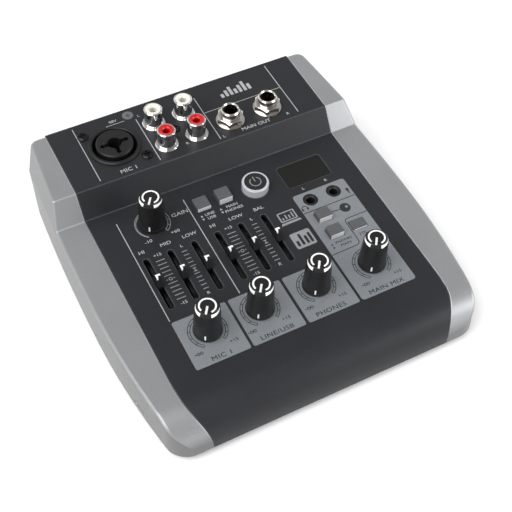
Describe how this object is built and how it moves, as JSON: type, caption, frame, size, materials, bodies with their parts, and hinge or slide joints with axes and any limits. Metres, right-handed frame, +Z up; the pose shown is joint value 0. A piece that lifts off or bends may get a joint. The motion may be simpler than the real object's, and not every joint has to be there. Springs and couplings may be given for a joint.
{
  "type": "mixing console",
  "caption": "Small desktop audio mixing console with a sloping control panel, raised connector panel, silver side cheeks, turning knobs, sliding faders and push buttons.",
  "frame": {"origin": "on the table, in the middle of the footprint", "axes": "+X to the user's right, +Y to the back, +Z up"},
  "size_m": [0.1524, 0.1568, 0.0534],
  "materials": {
    "case_dark": "fine satin texture, charcoal",
    "cheek_silver": "satin silver metallic paint",
    "pan_metal": "powder coated black",
    "screw_steel": "zinc plated",
    "screw_black": "black oxide",
    "foot_rubber": "matte",
    "brass": "machined",
    "board_green": "solder resist",
    "pot_metal": "tin plated",
    "shaft_metal": "turned",
    "nickel": "nickel plated",
    "chrome": "polished",
    "black_plastic": "moulded",
    "socket_black": "moulded, satin",
    "button_silver": "satin silver",
    "disc_black": "gloss",
    "window_tint": "dark tinted acrylic",
    "lamp": "diffused",
    "white_plastic": "moulded",
    "red_plastic": "moulded",
    "usb_metal": "tin plated",
    "knob_black": "soft touch",
    "fader_black": "satin",
    "button_grey": "satin"
  },
  "bodies": {
    "case": {"top_cover": "case_dark", "left_cheek": "cheek_silver", "right_cheek": "cheek_silver", "base_pan": "pan_metal", "base_screws": "screw_steel", "rubber_feet": "foot_rubber", "cheek_screws": "screw_steel", "board_spacers": "brass", "board_screws": "screw_steel", "main_board": "board_green", "connector_board": "board_green", "pot_bodies": "pot_metal", "pot_nuts": "nickel", "fader_bodies": "pot_metal", "switch_bodies": "black_plastic", "meter_window": "window_tint", "meter_lamps": "lamp", "meter_carrier": "black_plastic", "combo_bezel": "socket_black", "combo_insert": "socket_black", "combo_body": "black_plastic", "combo_screws": "screw_black", "phono_block": "black_plastic", "phono_shells": "chrome", "white_insulators": "white_plastic", "red_insulators": "red_plastic", "phono_screw": "screw_black", "output_bushings": "nickel", "output_nuts": "nickel", "output_washers": "nickel", "output_bodies": "black_plastic", "power_inlet": "black_plastic", "usb_socket": "usb_metal", "headphone_socket": "socket_black", "headset_socket": "socket_black"},
    "mic_level_knob": {"mic_level_knob": "knob_black", "mic_level_shaft": "shaft_metal"},
    "line_level_knob": {"line_level_knob": "knob_black", "line_level_shaft": "shaft_metal"},
    "phones_level_knob": {"phones_level_knob": "knob_black", "phones_level_shaft": "shaft_metal"},
    "main_level_knob": {"main_level_knob": "knob_black", "main_level_shaft": "shaft_metal"},
    "gain_knob": {"gain_knob": "knob_black", "gain_shaft": "shaft_metal"},
    "mic_high_fader": {"mic_high_fader": "fader_black"},
    "mic_mid_fader": {"mic_mid_fader": "fader_black"},
    "mic_low_fader": {"mic_low_fader": "fader_black"},
    "line_high_fader": {"line_high_fader": "fader_black"},
    "line_low_fader": {"line_low_fader": "fader_black"},
    "balance_fader": {"balance_fader": "fader_black"},
    "line_usb_button": {"line_usb_button": "button_grey"},
    "monitor_button": {"monitor_button": "button_grey"},
    "usb_phones_button": {"usb_phones_button": "button_grey"},
    "phones_main_button": {"phones_main_button": "button_grey"},
    "two_track_button": {"two_track_button": "button_grey"},
    "power_button": {"power_button": "button_silver", "power_disc": "disc_black"}
  },
  "joints": [
    {"name": "mic_level_turn", "type": "hinge", "parent": "case", "child": "mic_level_knob", "pos_m": [-0.038, -0.03972, 0.02408], "axis": [0, -0.0872, 0.9962], "range_deg": [-290, 0]},
    {"name": "line_level_turn", "type": "hinge", "parent": "case", "child": "line_level_knob", "pos_m": [-0.0142, -0.03972, 0.02408], "axis": [0, -0.0872, 0.9962], "range_deg": [-290, 0]},
    {"name": "phones_level_turn", "type": "hinge", "parent": "case", "child": "phones_level_knob", "pos_m": [0.0123, -0.03972, 0.02408], "axis": [0, -0.0872, 0.9962], "range_deg": [-290, 0]},
    {"name": "main_level_turn", "type": "hinge", "parent": "case", "child": "main_level_knob", "pos_m": [0.0394, -0.03972, 0.02408], "axis": [0, -0.0872, 0.9962], "range_deg": [-290, 0]},
    {"name": "gain_turn", "type": "hinge", "parent": "case", "child": "gain_knob", "pos_m": [-0.0357, 0.02015, 0.02932], "axis": [0, -0.0872, 0.9962], "range_deg": [-290, 0]},
    {"name": "mic_high_slide", "type": "slide", "parent": "case", "child": "mic_high_fader", "axis": [0, 0.9962, 0.0872], "range_m": [-0.01, 0.01]},
    {"name": "mic_mid_slide", "type": "slide", "parent": "case", "child": "mic_mid_fader", "axis": [0, 0.9962, 0.0872], "range_m": [-0.01, 0.01]},
    {"name": "mic_low_slide", "type": "slide", "parent": "case", "child": "mic_low_fader", "axis": [0, 0.9962, 0.0872], "range_m": [-0.01, 0.01]},
    {"name": "line_high_slide", "type": "slide", "parent": "case", "child": "line_high_fader", "axis": [0, 0.9962, 0.0872], "range_m": [-0.01, 0.01]},
    {"name": "line_low_slide", "type": "slide", "parent": "case", "child": "line_low_fader", "axis": [0, 0.9962, 0.0872], "range_m": [-0.01, 0.01]},
    {"name": "balance_slide", "type": "slide", "parent": "case", "child": "balance_fader", "axis": [0, 0.9962, 0.0872], "range_m": [-0.01, 0.01]},
    {"name": "line_usb_press", "type": "slide", "parent": "case", "child": "line_usb_button", "axis": [0, 0.0872, -0.9962], "range_m": [-0.0012, 0.0003]},
    {"name": "monitor_press", "type": "slide", "parent": "case", "child": "monitor_button", "axis": [0, 0.0872, -0.9962], "range_m": [0, 0.0015]},
    {"name": "usb_phones_press", "type": "slide", "parent": "case", "child": "usb_phones_button", "axis": [0, 0.0872, -0.9962], "range_m": [0, 0.0015]},
    {"name": "phones_main_press", "type": "slide", "parent": "case", "child": "phones_main_button", "axis": [0, 0.0872, -0.9962], "range_m": [0, 0.0015]},
    {"name": "two_track_press", "type": "slide", "parent": "case", "child": "two_track_button", "axis": [0, 0.0872, -0.9962], "range_m": [-0.0021, 0.0003]},
    {"name": "power_press", "type": "slide", "parent": "case", "child": "power_button", "axis": [0, 0.0872, -0.9962], "range_m": [0, 0.0015], "stiffness_N_per_m": 300, "springref_m": -0.0005}
  ]
}
